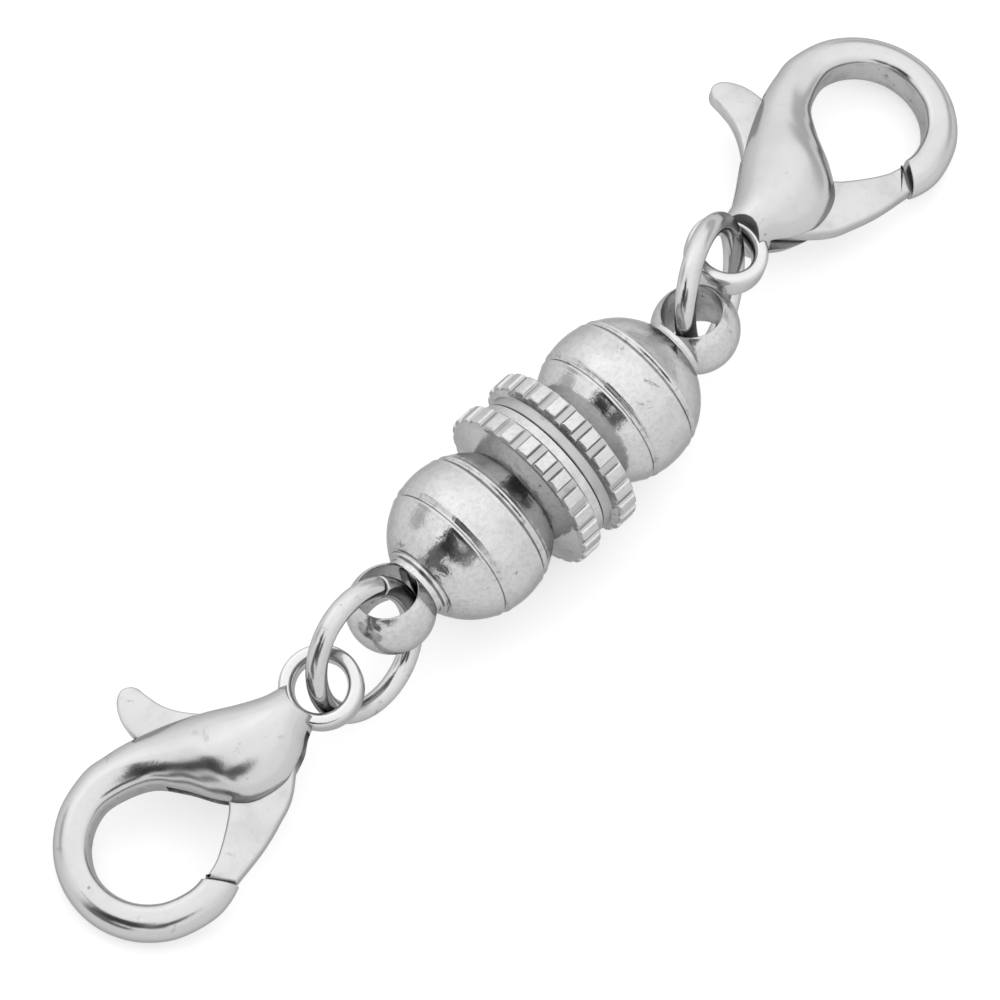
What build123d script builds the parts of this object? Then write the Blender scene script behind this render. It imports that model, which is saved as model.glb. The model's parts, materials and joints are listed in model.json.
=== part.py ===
from build123d import *
import math
import os

# A magnetic converter clasp: two turned halves that meet at a knurled seam, each with
# a cross-drilled eye ball, a jump ring and a trigger claw. Millimetres, +Z up, +X along
# the barrel towards half B. Built with the seam at X = 0 and moved at the end so that
# the origin is the middle of the whole part's footprint.

# Knurled collar and mating lip of each half, lengths along the axis
SEAM_GAP = 0.05
LIP_R = 2.66
LIP_LENGTH = 0.36
LIP_EDGE = 0.05
KNURL_R = 3.00
KNURL_BEVEL = 0.12
KNURL_LENGTH = 0.66
KNURL_TEETH = 25
KNURL_GAP_WIDTH = 0.30
KNURL_GAP_DEPTH = 0.13
KNURL_TURN_A = 5.7
KNURL_TURN_B = 13.4
COLLAR_STEP = 0.06
COLLAR_BACK_DEPTH = 0.28

# Waist, ball body with two turned grooves, stepped neck and eye ball
WAIST_R = 1.90
WAIST_LENGTH = 0.36
BALL_R = 2.66
GROOVE_OFFSET = 0.84
GROOVE_WIDTH = 0.20
GROOVE_DEPTH = 0.07
STEP_R = 1.46
BEAD_R = 1.28
BEAD_LENGTH = 0.14
NECK_R = 1.08
NECK_LENGTH = 0.22
EYE_BALL_R = 1.46
EYE_HOLE_R = 1.00
EYE_LEAN = 10.0

# Disc magnets sunk in the mating faces
MAGNET_R = 2.10
MAGNET_LENGTH = 1.05
MAGNET_FIT = 0.03
MAGNET_RECESS = 0.05

# Jump rings: closed wire rings with a fine slit
WIRE_R = 0.35
RING_OD = 4.95
RING_SLIT = 0.08
RING_PLAY = 0.04

# How each ring hangs: where its wire sits in the eye ball's hole (angle, share of the
# free play), the heading, rise and roll of the ring, and the slit's angle round it
SEAT_A = (165.6, 0.90)
HANG_A = (-173.1, -3.1, -155.9)
SLIT_AT_A = -42.0
SEAT_B = (-152.4, 0.985)
HANG_B = (26.6, 1.9, -13.8)
SLIT_AT_B = -60.0

# Where each claw's eye sits on its ring: angle round the ring from the eye ball, then
# the share of the free play along and across the claw
PERCH_A = (-178.8, -0.47, 0.64)
PERCH_B = (-158.8, -0.915, -0.085)

# Trigger claw in its own plane: origin at the eye's centre, +X to the hook,
# +Y to the thumb side, +Z square to both
CLAW_EYE_HOLE_R = 0.86
CLAW_EYE_WALL = 0.50
CLAW_EYE_HEIGHT = 0.90
EYE_TO_HOOK = 7.30
HOOK_OFFSET = 0.07
HOOK_R = 2.53
BAR_WIDTH = 1.16
BAR_HEIGHT = 1.42
TIP_ANGLE = -106.0
TIP_SLANT = 21.0
BELLY_WIDTH = 3.90
BELLY_HEIGHT = 2.84
LEVER_THICKNESS = 0.56
LEVER_EDGE = 0.10
SLOT_CLEARANCE = 0.05
GATE_GAP = 0.08
GATE_OUTSIDE = 0.56
GATE_INSIDE = 0.42
PIVOT_ALONG = 2.30
PIVOT_SIDE = 0.05
BOSS_R = 0.95
BOSS_ANGLES = (110.0, 150.0, 190.0, 230.0)
BOSS_CLEARANCE = 0.08
PIN_R = 0.35
PIN_FIT = 0.04
PIN_END = 0.30
THUMB_REACH = 4.38

# How the claws lie: heading about +Z and roll about their length
CLAW_TURN_A = 176.4
CLAW_ROLL_A = 3.6
CLAW_TURN_B = 4.3
CLAW_ROLL_B = 4.5

# Pear of the claw body, a row per section: outer x, outer y, inner x, inner y, half
# height and squareness of the inner side. x in shares of EYE_TO_HOOK, y of BELLY_WIDTH,
# heights of BELLY_HEIGHT / 2.
PEAR = (
    (0.095, 0.215, 0.095, -0.170, 0.30, 2.0),
    (0.137, 0.232, 0.132, -0.178, 0.42, 2.0),
    (0.168, 0.240, 0.160, -0.195, 0.66, 2.0),
    (0.208, 0.258, 0.192, -0.225, 0.84, 2.0),
    (0.311, 0.366, 0.270, -0.325, 0.96, 2.0),
    (0.432, 0.505, 0.405, -0.400, 1.00, 2.0),
    (0.554, 0.621, 0.554, -0.335, 0.98, 2.1),
    (0.662, 0.705, 0.652, -0.144, 0.85, 2.5),
    (0.770, 0.774, 0.733, 0.126, 0.71, 3.0),
    (0.878, 0.818, 0.832, 0.362, 0.60, 3.4),
)

# Bar of the hook, a row per section: angle about the hook's centre, outer and inner
# half widths in shares of BAR_WIDTH / 2, height in shares of BAR_HEIGHT
HOOK = (
    (90.0, 1.18, 1.22, 1.05),
    (65.0, 1.08, 1.10, 1.01),
    (40.0, 1.02, 1.04, 1.00),
    (15.0, 1.00, 1.00, 1.00),
    (-10.0, 1.00, 1.00, 1.00),
    (-35.0, 1.00, 0.99, 1.00),
    (-60.0, 1.03, 0.96, 0.97),
    (-85.0, 1.07, 0.90, 0.93),
    (-103.0, 1.08, 0.86, 0.88),
    (-122.0, 1.04, 0.82, 0.83),
)
HOOK_SQUARENESS = 3.8
SECTION_POINTS = 16

# Lever outline from the gate's inner corner round the thumb tab to its outer corner.
# x in shares of EYE_TO_HOOK; y in shares of HOOK_R below the axis, of THUMB_REACH above.
LEVER_INNER = (
    (0.851, -0.720),
    (0.770, -0.591),
    (0.703, -0.459),
    (0.655, -0.350),
    (0.622, -0.214),
    (0.608, 0.046),
    (0.635, 0.228),
    (0.676, 0.434),
    (0.726, 0.594),
    (0.736, 0.719),
    (0.723, 0.845),
    (0.682, 0.959),
)
THUMB_TIP = (0.628, 1.0)
LEVER_OUTER = (
    (0.580, 0.945),
    (0.566, 0.822),
    (0.547, 0.696),
    (0.500, 0.559),
    (0.419, 0.411),
)
LEVER_ARM = (
    (0.405, -0.735),
    (0.541, -0.905),
    (0.676, -1.015),
)

# Far side of the slot between the cheeks, from the thumb side to the gate side,
# in the same shares as the lever
SLOT_EDGE = (
    (0.790, 1.300),
    (0.757, 0.594),
    (0.689, 0.411),
    (0.797, 0.205),
    (0.757, -0.117),
    (0.703, -1.200),
)

# A section's power where it is a plain ellipse, a cutting tool's length over what it
# cuts, how near two heights are when they are the same, and the search for a claw's
# pitch: its steepest value, its halvings, and the rounds that settle the eye's place
ELLIPSE = 2.0
THROUGH = 2.0
SAME = 1e-4
STEEPEST = 60.0
HALVINGS = 40
SETTLING = 12

os.makedirs("parts", exist_ok=True)


def unit(heading, rise):
    """Direction with a heading about +Z and a rise over the floor, in degrees."""
    turn = math.radians(heading)
    lift = math.radians(rise)
    return Vector(
        math.cos(lift) * math.cos(turn), math.cos(lift) * math.sin(turn), math.sin(lift)
    )


# Stations along the axis, each from the sizes before it
KNURL_START = LIP_LENGTH + KNURL_BEVEL
KNURL_END = KNURL_START + KNURL_LENGTH
WAIST_X = KNURL_END + WAIST_LENGTH
BALL_X = WAIST_X + math.sqrt(BALL_R**2 - WAIST_R**2)
STEP_X = BALL_X + math.sqrt(BALL_R**2 - STEP_R**2)
BEAD_END = STEP_X + BEAD_LENGTH
NECK_END = BEAD_END + NECK_LENGTH
EYE_X = NECK_END + math.sqrt(EYE_BALL_R**2 - NECK_R**2)
COLLAR_BACK_R = KNURL_R - COLLAR_BACK_DEPTH


def on_ball(x):
    """Radius of the ball body at a station."""
    return math.sqrt(BALL_R**2 - (x - BALL_X) ** 2)


def half_profile():
    """Outline of half B above its axis, from the mating face to the eye ball's end."""
    face = SEAM_GAP / 2
    groove = GROOVE_WIDTH / 2
    left = BALL_X - GROOVE_OFFSET
    right = BALL_X + GROOVE_OFFSET
    bottom = on_ball(left) - GROOVE_DEPTH
    half_turn = math.atan2(NECK_R, NECK_END - EYE_X) / 2
    eye_side = EYE_X + EYE_BALL_R * math.cos(half_turn)
    eye_top = EYE_BALL_R * math.sin(half_turn)
    first = (WAIST_X + left - groove) / 2
    last = (STEP_X + right + groove) / 2
    with BuildPart() as solid:
        with BuildSketch(Plane.XY):
            with BuildLine():
                Polyline(
                    (face, 0),
                    (face, LIP_R - LIP_EDGE),
                    (face + LIP_EDGE, LIP_R),
                    (LIP_LENGTH, LIP_R),
                    (KNURL_START, KNURL_R),
                    (KNURL_END, KNURL_R),
                    (KNURL_END + COLLAR_STEP, COLLAR_BACK_R),
                    (WAIST_X, WAIST_R),
                )
                ThreePointArc(
                    (WAIST_X, WAIST_R), (first, on_ball(first)), (left - groove, on_ball(left - groove))
                )
                Polyline(
                    (left - groove, on_ball(left - groove)),
                    (left, bottom),
                    (left + groove, on_ball(left + groove)),
                )
                ThreePointArc(
                    (left + groove, on_ball(left + groove)),
                    (BALL_X, BALL_R),
                    (right - groove, on_ball(right - groove)),
                )
                Polyline(
                    (right - groove, on_ball(right - groove)),
                    (right, bottom),
                    (right + groove, on_ball(right + groove)),
                )
                ThreePointArc(
                    (right + groove, on_ball(right + groove)), (last, on_ball(last)), (STEP_X, STEP_R)
                )
                Polyline(
                    (STEP_X, STEP_R),
                    (STEP_X, BEAD_R),
                    (BEAD_END, BEAD_R),
                    (BEAD_END, NECK_R),
                    (NECK_END, NECK_R),
                )
                ThreePointArc((NECK_END, NECK_R), (eye_side, eye_top), (EYE_X + EYE_BALL_R, 0))
                Line((EYE_X + EYE_BALL_R, 0), (face, 0))
            make_face()
        revolve(axis=Axis.X)
    return solid.part


def knurl_gaps(turn):
    """Square gaps cut between the collar's teeth."""
    pitch = 360 / KNURL_TEETH
    length = KNURL_END - LIP_LENGTH + 2 * COLLAR_STEP
    middle = (KNURL_END + LIP_LENGTH) / 2
    tool = Box(length, 2 * KNURL_GAP_DEPTH, KNURL_GAP_WIDTH)
    return [
        Rot(X=turn + pitch / 2 + i * pitch) * Pos(middle, KNURL_R, 0) * tool
        for i in range(KNURL_TEETH)
    ]


def eye_drill():
    """Cross hole through the eye ball, leaning to +Y."""
    return Pos(EYE_X, 0, 0) * Rot(X=-EYE_LEAN) * Cylinder(EYE_HOLE_R, THROUGH * 2 * EYE_BALL_R)


def magnet():
    """Disc magnet of half B, its face just under the mating lip."""
    start = SEAM_GAP / 2 + MAGNET_RECESS
    return Pos(start + MAGNET_LENGTH / 2, 0, 0) * Rot(Y=90) * Cylinder(MAGNET_R, MAGNET_LENGTH)


def magnet_pocket():
    """Blind bore for the magnet, open at the mating face."""
    length = MAGNET_RECESS + MAGNET_LENGTH + MAGNET_FIT + SEAM_GAP
    bore = Cylinder(MAGNET_R + MAGNET_FIT, length)
    return Pos((length - SEAM_GAP) / 2, 0, 0) * Rot(Y=90) * bore


def barrel_half(turn):
    """Half B about the X axis, its knurl turned by an angle."""
    body = half_profile() - magnet_pocket() - eye_drill()
    for gap in knurl_gaps(turn):
        body -= gap
    return body.solid()


def flip(shape):
    """The mirrored shape of half A's side."""
    return shape.mirror(Plane.YZ)


def jump_ring(frame, slit_at):
    """Wire ring in a plane, its slit at an angle from the plane's x direction."""
    middle = RING_OD / 2 - WIRE_R
    tool = Box(THROUGH * 2 * WIRE_R, RING_SLIT, THROUGH * 2 * WIRE_R)
    ring = Torus(middle, WIRE_R) - Rot(Z=slit_at) * Pos(middle, 0, 0) * tool
    return (frame.location * ring).solid()


def ring_frame(side, seat, hang):
    """Plane of a ring: its centre, x back towards the eye ball, z its normal."""
    angle, share = seat
    lean = math.radians(EYE_LEAN)
    hole = Vector(0, math.sin(lean), math.cos(lean))
    outward = Vector(side, 0, 0)
    across = hole.cross(outward)
    free = (EYE_HOLE_R - WIRE_R - RING_PLAY) * share
    turn = math.radians(angle)
    aside = (outward * math.cos(turn) + across * math.sin(turn)) * free
    in_hole = Vector(side * EYE_X, 0, KNURL_R) + aside
    reach = unit(hang[0], hang[1])
    level = Vector(0, 0, 1).cross(reach).normalized()
    roll = math.radians(hang[2])
    normal = level * math.cos(roll) + reach.cross(level) * math.sin(roll)
    centre = in_hole + reach * (RING_OD / 2 - WIRE_R)
    return Plane(origin=centre, x_dir=reach * -1, z_dir=normal)


def claw_axes(side, heading, pitch, roll):
    """Claw directions: along to the hook, thumb side, and up out of the cheeks."""
    along = unit(heading, -pitch)
    level = unit(heading + side * 90, 0)
    up = along.cross(level) * side
    tilt = math.radians(roll)
    thumb = level * math.cos(tilt) + up * math.sin(tilt)
    return along, thumb, along.cross(thumb) * side


def hook_drop(side, heading, pitch, roll):
    """How far the hook's lowest point is under the centre of the claw's eye."""
    along, thumb, up = claw_axes(side, heading, pitch, roll)
    slope = math.hypot(along.Z, thumb.Z)
    bar = math.hypot(BAR_HEIGHT / 2 * up.Z, BAR_WIDTH / 2 * slope)
    return -EYE_TO_HOOK * along.Z - HOOK_OFFSET * thumb.Z + HOOK_R * slope + bar


def claw_pitch(side, heading, roll, height):
    """Pitch at which the hook rests on the floor with the eye at a height."""
    low = 0.0
    high = STEEPEST
    for _ in range(HALVINGS):
        middle = (low + high) / 2
        if hook_drop(side, heading, middle, roll) < height:
            low = middle
        else:
            high = middle
    return middle


def claw_frame(side, ring, perch, heading, roll):
    """Plane of a claw whose eye hangs on a ring and whose hook rests on the floor."""
    angle = math.radians(perch[0])
    middle = RING_OD / 2 - WIRE_R
    wire = ring.origin + (ring.x_dir * math.cos(angle) + ring.y_dir * math.sin(angle)) * middle
    free = CLAW_EYE_HOLE_R - WIRE_R - RING_PLAY
    centre = wire
    for _ in range(SETTLING):
        pitch = claw_pitch(side, heading, roll, centre.Z)
        along, thumb, up = claw_axes(side, heading, pitch, roll)
        centre = wire + along * (free * perch[1]) + thumb * (free * perch[2])
    return Plane(origin=centre, x_dir=along, z_dir=along.cross(thumb))


def section(outer, inner, half_height, squareness):
    """Closed smooth section between an outer and an inner point of the claw's plane."""
    centre = (outer + inner) / 2
    reach = (outer - inner) / 2
    points = []
    for i in range(SECTION_POINTS):
        angle = math.tau * i / SECTION_POINTS
        c = math.cos(angle)
        s = math.sin(angle)
        power = 2 / (ELLIPSE if c > 0 else squareness)
        a = math.copysign(abs(c) ** power, c)
        b = math.copysign(abs(s) ** power, s)
        points.append(centre + reach * a + Vector(0, 0, half_height * b))
    return Wire([Edge.make_spline(points, periodic=True)])


def hook_point(angle, radius):
    """Point of the claw's plane at an angle and radius about the hook's centre."""
    turn = math.radians(angle)
    return Vector(EYE_TO_HOOK + radius * math.cos(turn), HOOK_OFFSET + radius * math.sin(turn), 0)


def claw_sections():
    """Sections from the pear's eye end round the hook to past its tip."""
    wires = []
    for x_out, y_out, x_in, y_in, height, squareness in PEAR:
        outer = Vector(x_out * EYE_TO_HOOK, y_out * BELLY_WIDTH, 0)
        inner = Vector(x_in * EYE_TO_HOOK, y_in * BELLY_WIDTH, 0)
        wires.append(section(outer, inner, height * BELLY_HEIGHT / 2, squareness))
    for angle, outside, inside, height in HOOK:
        outer = hook_point(angle, HOOK_R + outside * BAR_WIDTH / 2)
        inner = hook_point(angle, HOOK_R - inside * BAR_WIDTH / 2)
        wires.append(section(outer, inner, height * BAR_HEIGHT / 2, HOOK_SQUARENESS))
    return wires


def tip_directions():
    """Where the hook's tip faces, and along that face from its inner to its outer side."""
    facing = math.radians(TIP_ANGLE - 90 - TIP_SLANT)
    out = Vector(math.cos(facing), math.sin(facing), 0)
    return out, Vector(-out.Y, out.X, 0)


def tip_cut():
    """Block that trims the hook's tip to its slanted face."""
    out, face = tip_directions()
    plane = Plane(origin=hook_point(TIP_ANGLE, HOOK_R), x_dir=face, z_dir=out)
    block = Box(THROUGH * BAR_WIDTH, THROUGH * BAR_HEIGHT, BAR_WIDTH)
    return plane.location * Pos(0, 0, BAR_WIDTH / 2) * block


def outline_point(point):
    """Point of the lever's plan: y in shares of THUMB_REACH above, HOOK_R below."""
    x, y = point
    return Vector(x * EYE_TO_HOOK, y * (THUMB_REACH if y > 0 else HOOK_R), 0)


def slot_tool():
    """Space between the cheeks, round the boss and out to the slot's far edge."""
    thickness = LEVER_THICKNESS + 2 * SLOT_CLEARANCE
    radius = BOSS_R + BOSS_CLEARANCE
    edge = [outline_point(p) for p in SLOT_EDGE]
    above = Vector(PIVOT_ALONG, edge[0].Y, 0)
    below = Vector(PIVOT_ALONG, edge[-1].Y, 0)
    near_top = Vector(PIVOT_ALONG - radius, edge[0].Y, 0)
    near_foot = Vector(PIVOT_ALONG - radius, edge[-1].Y, 0)
    plan = Face(Wire.make_polygon([near_top, above, *edge, below, near_foot], close=True))
    return Pos(0, 0, -thickness / 2) * Solid.extrude(plan, Vector(0, 0, thickness))


def pin(radius, length):
    """Cylinder about the lever's pivot."""
    return Pos(PIVOT_ALONG, PIVOT_SIDE, 0) * Cylinder(radius, length)


def claw_eye():
    """Oval ring at the claw's end."""
    centre = CLAW_EYE_HOLE_R + CLAW_EYE_WALL / 2
    with BuildPart() as ring:
        with BuildSketch(Plane.XZ):
            with Locations((centre, 0)):
                Ellipse(CLAW_EYE_WALL / 2, CLAW_EYE_HEIGHT / 2)
        revolve(axis=Axis.Z)
    return ring.part


def claw_body():
    """Cheeks and hook in one piece with the eye, slotted for the lever."""
    inside = LEVER_THICKNESS + 2 * SLOT_CLEARANCE + 2 * PIN_END + 2 * PIN_FIT
    pear = Solid.make_loft(claw_sections())
    in_the_wall = CLAW_EYE_HOLE_R + CLAW_EYE_WALL / 4
    eye_bore = Cylinder(in_the_wall, THROUGH * BELLY_HEIGHT)
    body = pear - eye_bore - tip_cut() + claw_eye()
    return (body - slot_tool() - pin(PIN_R + PIN_FIT, inside)).solid()


def claw_lever():
    """Thumb tab, boss and gate in one flat piece."""
    out, face = tip_directions()
    end = hook_point(TIP_ANGLE, HOOK_R) + out * GATE_GAP
    inner = end - face * GATE_INSIDE
    outer = end + face * GATE_OUTSIDE
    pivot = Vector(PIVOT_ALONG, PIVOT_SIDE, 0)
    boss = [pivot + unit(angle, 0) * BOSS_R for angle in BOSS_ANGLES]
    points = [
        inner,
        *[outline_point(p) for p in LEVER_INNER],
        outline_point(THUMB_TIP),
        *[outline_point(p) for p in LEVER_OUTER],
        *boss,
        *[outline_point(p) for p in LEVER_ARM],
        outer,
    ]
    edges = [Edge.make_spline(points), Edge.make_line(outer, inner)]
    plan = Face(Wire(edges))
    blade = Pos(0, 0, -LEVER_THICKNESS / 2) * Solid.extrude(plan, Vector(0, 0, LEVER_THICKNESS))
    top = LEVER_THICKNESS / 2
    flat = blade.edges().filter_by(lambda edge: abs(abs(edge.center().Z) - top) < SAME)
    blade = blade.solid().chamfer(LEVER_EDGE, None, flat)
    return (blade - pin(PIN_R + PIN_FIT, THROUGH * LEVER_THICKNESS)).solid()


def claw_rivet():
    """Pin through the lever with its ends blind in the cheeks."""
    return pin(PIN_R, LEVER_THICKNESS + 2 * SLOT_CLEARANCE + 2 * PIN_END)


def claw_nodes(letter, frame):
    """The three pieces of one claw, placed."""
    return {
        "claw_body_" + letter: frame.location * claw_body(),
        "claw_lever_" + letter: frame.location * claw_lever(),
        "claw_rivet_" + letter: frame.location * claw_rivet(),
    }


def build():
    """Every node of the clasp, standing on the floor."""
    up = Pos(0, 0, KNURL_R)
    ring_a = ring_frame(-1, SEAT_A, HANG_A)
    ring_b = ring_frame(1, SEAT_B, HANG_B)
    nodes = {
        "half_a": up * flip(barrel_half(KNURL_TURN_A)),
        "half_b": up * barrel_half(KNURL_TURN_B),
        "magnet_a": up * flip(magnet()),
        "magnet_b": up * magnet(),
        "jump_ring_a": jump_ring(ring_a, SLIT_AT_A),
        "jump_ring_b": jump_ring(ring_b, SLIT_AT_B),
    }
    nodes.update(claw_nodes("a", claw_frame(-1, ring_a, PERCH_A, CLAW_TURN_A, CLAW_ROLL_A)))
    nodes.update(claw_nodes("b", claw_frame(1, ring_b, PERCH_B, CLAW_TURN_B, CLAW_ROLL_B)))
    return nodes


def to_footprint(nodes):
    """Move that puts the origin under the middle of all the nodes' boxes."""
    boxes = [shape.bounding_box() for shape in nodes.values()]
    middle_x = (min(box.min.X for box in boxes) + max(box.max.X for box in boxes)) / 2
    middle_y = (min(box.min.Y for box in boxes) + max(box.max.Y for box in boxes)) / 2
    return Pos(-middle_x, -middle_y, -min(box.min.Z for box in boxes))


clasp = build()
move = to_footprint(clasp)
for name, shape in clasp.items():
    export_step(move * shape, "parts/" + name + ".step")
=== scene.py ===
"""Looks of a magnetic converter clasp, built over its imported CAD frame.

Lengths are in millimetres inside the sub-assemblies and become metres in Shell. Fields that
hold angles are in degrees.
"""

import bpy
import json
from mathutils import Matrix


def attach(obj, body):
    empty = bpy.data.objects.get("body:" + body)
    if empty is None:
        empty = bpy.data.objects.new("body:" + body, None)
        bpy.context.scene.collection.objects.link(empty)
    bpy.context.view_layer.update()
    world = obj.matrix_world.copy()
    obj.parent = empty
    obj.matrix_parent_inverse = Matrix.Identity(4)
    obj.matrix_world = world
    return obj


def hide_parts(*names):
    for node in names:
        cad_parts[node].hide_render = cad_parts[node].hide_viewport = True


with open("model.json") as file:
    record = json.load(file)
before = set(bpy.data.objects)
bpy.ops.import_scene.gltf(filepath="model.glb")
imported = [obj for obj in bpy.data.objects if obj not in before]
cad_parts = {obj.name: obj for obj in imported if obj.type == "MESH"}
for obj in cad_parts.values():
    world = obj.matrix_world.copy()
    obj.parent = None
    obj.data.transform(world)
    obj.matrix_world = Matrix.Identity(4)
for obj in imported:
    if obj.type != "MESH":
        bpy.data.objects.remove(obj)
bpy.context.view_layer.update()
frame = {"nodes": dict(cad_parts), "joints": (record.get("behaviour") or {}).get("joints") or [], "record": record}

import json
import logging
from dataclasses import dataclass, replace
from enum import Enum
from functools import cached_property
from math import asin, atan2, copysign, cos, degrees, exp, hypot, pi, radians, sin, sqrt, tau
from typing import Sequence, Union

import bmesh
import bpy
from mathutils import Matrix, Vector

LOG = logging.getLogger("clasp")
MM = 0.001
SEAM = (0.27966, -1.52576, 3.0)
CREASE = 38.0
CAST_CREASE = 44.0
LEVER_CREASE = 40.0
CORNER_STEPS = 4
CORNER_SHARE = 0.45
LATHE_STRETCH = (1.0, 0.015, 0.015)
Value = Union[float, "Socket"]
Colour = Union[tuple, "Socket"]
Flat = tuple[float, float]
Flats = tuple[Flat, ...]
Point = tuple[float, float, float]
Ramp = tuple[float, float]
Table = tuple[tuple[float, ...], ...]
Material = bpy.types.Material
Object = bpy.types.Object
Finishes = Sequence[Material]
Rows = Sequence[Sequence[Vector]]


class Side(Enum):
    """Which end of the clasp a piece belongs to, with its direction along X."""

    A = -1
    B = 1

    @property
    def letter(self) -> str:
        """Lower-case letter used in piece names."""
        return self.name.lower()

    @property
    def body(self) -> str:
        """CAD body that carries this end."""
        return "side_" + self.letter

    @property
    def seat(self) -> Matrix:
        """Placement of a shape that is drawn from the seam towards +X."""
        return Matrix.Translation(SEAM) @ Matrix.Scale(self.value, 4, (1, 0, 0))


class Edge(Enum):
    """How a profile corner is softened."""

    CRISP = 0.025
    EASED = 0.06
    SOFT = 0.14


# Shader nodes


class Socket:
    """One node output, with arithmetic that adds Math nodes."""

    def __init__(self, graph: "Graph", output: bpy.types.NodeSocket) -> None:
        """Wrap an output of one of the graph's nodes."""
        self.graph = graph
        self.output = output

    def _math(self, operation: str, first: Value, second: Value) -> "Socket":
        """Result of a Math node for an operation and its two operands."""
        return self.graph.node("Math", {"operation": operation}, {0: first, 1: second})

    def __add__(self, other: Value) -> "Socket":
        """Sum."""
        return self._math("ADD", self, other)

    __radd__ = __add__

    def __mul__(self, other: Value) -> "Socket":
        """Product."""
        return self._math("MULTIPLY", self, other)

    __rmul__ = __mul__

    def __sub__(self, other: Value) -> "Socket":
        """Difference."""
        return self._math("SUBTRACT", self, other)

    def __rsub__(self, other: Value) -> "Socket":
        """Reflected difference."""
        return self._math("SUBTRACT", other, self)

    def __abs__(self) -> "Socket":
        """Size without the sign."""
        return self._math("ABSOLUTE", self, 0.0)

    def smooth(self, low: float, high: float) -> "Socket":
        """Smooth ramp from 0 at the low value to 1 at the high one."""
        ends = {"Value": self, "From Min": low, "From Max": high}
        return self.graph.node("MapRange", {"interpolation_type": "SMOOTHSTEP"}, ends)

    def facing(self, azimuth: float, elevation: float) -> "Socket":
        """Cosine between this direction and a fixed one.

        Args:
            azimuth: Its azimuth in degrees.
            elevation: Its elevation in degrees.

        Returns:
            The cosine.
        """
        turn, lift = radians(azimuth), radians(elevation)
        fixed = (cos(turn) * cos(lift), sin(turn) * cos(lift), sin(lift))
        inputs = {0: self, 1: fixed}
        return self.graph.node("VectorMath", {"operation": "DOT_PRODUCT"}, inputs, "Value")


class Graph:
    """Node tree of one material or world."""

    def __init__(self, owner: Union[Material, bpy.types.World]) -> None:
        """Empty a node tree and take it over.

        Args:
            owner: Material or world that has the tree.
        """
        owner.use_nodes = True
        self.tree = owner.node_tree
        self.tree.nodes.clear()

    def node(self, kind: str, settings: dict, inputs: dict, output: Union[int, str] = 0) -> Socket:
        """Add a node.

        Args:
            kind: The node's type after ShaderNode.
            settings: Attributes set before the sockets.
            inputs: Socket names or numbers to values or other sockets.
            output: Name or number of the output to return.

        Returns:
            The chosen output, or the first input of a node that has no outputs.
        """
        made = self.tree.nodes.new("ShaderNode" + kind)
        for name, value in settings.items():
            setattr(made, name, value)
        for key, value in inputs.items():
            if isinstance(value, Socket):
                self.tree.links.new(value.output, made.inputs[key])
            else:
                made.inputs[key].default_value = value
        return Socket(self, made.outputs[output] if len(made.outputs) else made.inputs[0])

    def mix(self, factor: Value, first: Colour, second: Colour) -> Socket:
        """Blend of two colours, where the factor is the share of the second."""
        # A Mix node has its colours at inputs 6 and 7 and at output 2.
        return self.node("Mix", {"data_type": "RGBA"}, {0: factor, 6: first, 7: second}, 2)

    def surface(self, inputs: dict) -> None:
        """End a material with a Principled shader that has these inputs."""
        shader = self.node("BsdfPrincipled", {}, inputs)
        self.node("OutputMaterial", {}, {"Surface": shader})

    def place(self, scale: float) -> Socket:
        """Position on the clasp in millimetres, times a scale."""
        where = self.node("TexCoord", {}, {}, "Object")
        return self.node("VectorMath", {"operation": "SCALE"}, {0: where, "Scale": scale / MM})

    def noise(
        self, size: float, detail: float, rough: float = 0.5, warp: float = 0.0, stretch: tuple = ()
    ) -> Socket:
        """Noise whose blotches are about a size in millimetres.

        Args:
            size: Size of the blotches.
            detail: Octaves.
            rough: Strength of the finer octaves.
            warp: Distortion.
            stretch: Factors on x, y and z.

        Returns:
            Noise from 0 to 1.
        """
        where = self.place(1.0 / size)
        if stretch:
            where = self.node("VectorMath", {"operation": "MULTIPLY"}, {0: where, 1: stretch})
        inputs = {"Vector": where, "Scale": 1.0, "Detail": detail, "Roughness": rough, "Distortion": warp}
        return self.node("TexNoise", {}, inputs)

    def spots(self, spacing: float, radius: float) -> Socket:
        """Sparse round pits.

        Args:
            spacing: Distance between pits in millimetres.
            radius: Size of a pit in millimetres.

        Returns:
            1 inside a pit, 0 outside.
        """
        inputs = {"Vector": self.place(1.0 / spacing), "Scale": 1.0}
        near = self.node("TexVoronoi", {}, inputs, "Distance")
        return 1.0 - near.smooth(radius / spacing * 0.5, radius / spacing)


def grey(level: float) -> tuple[float, float, float, float]:
    """Neutral linear colour of a level."""
    return (level, level, level * 1.004, 1.0)


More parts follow.
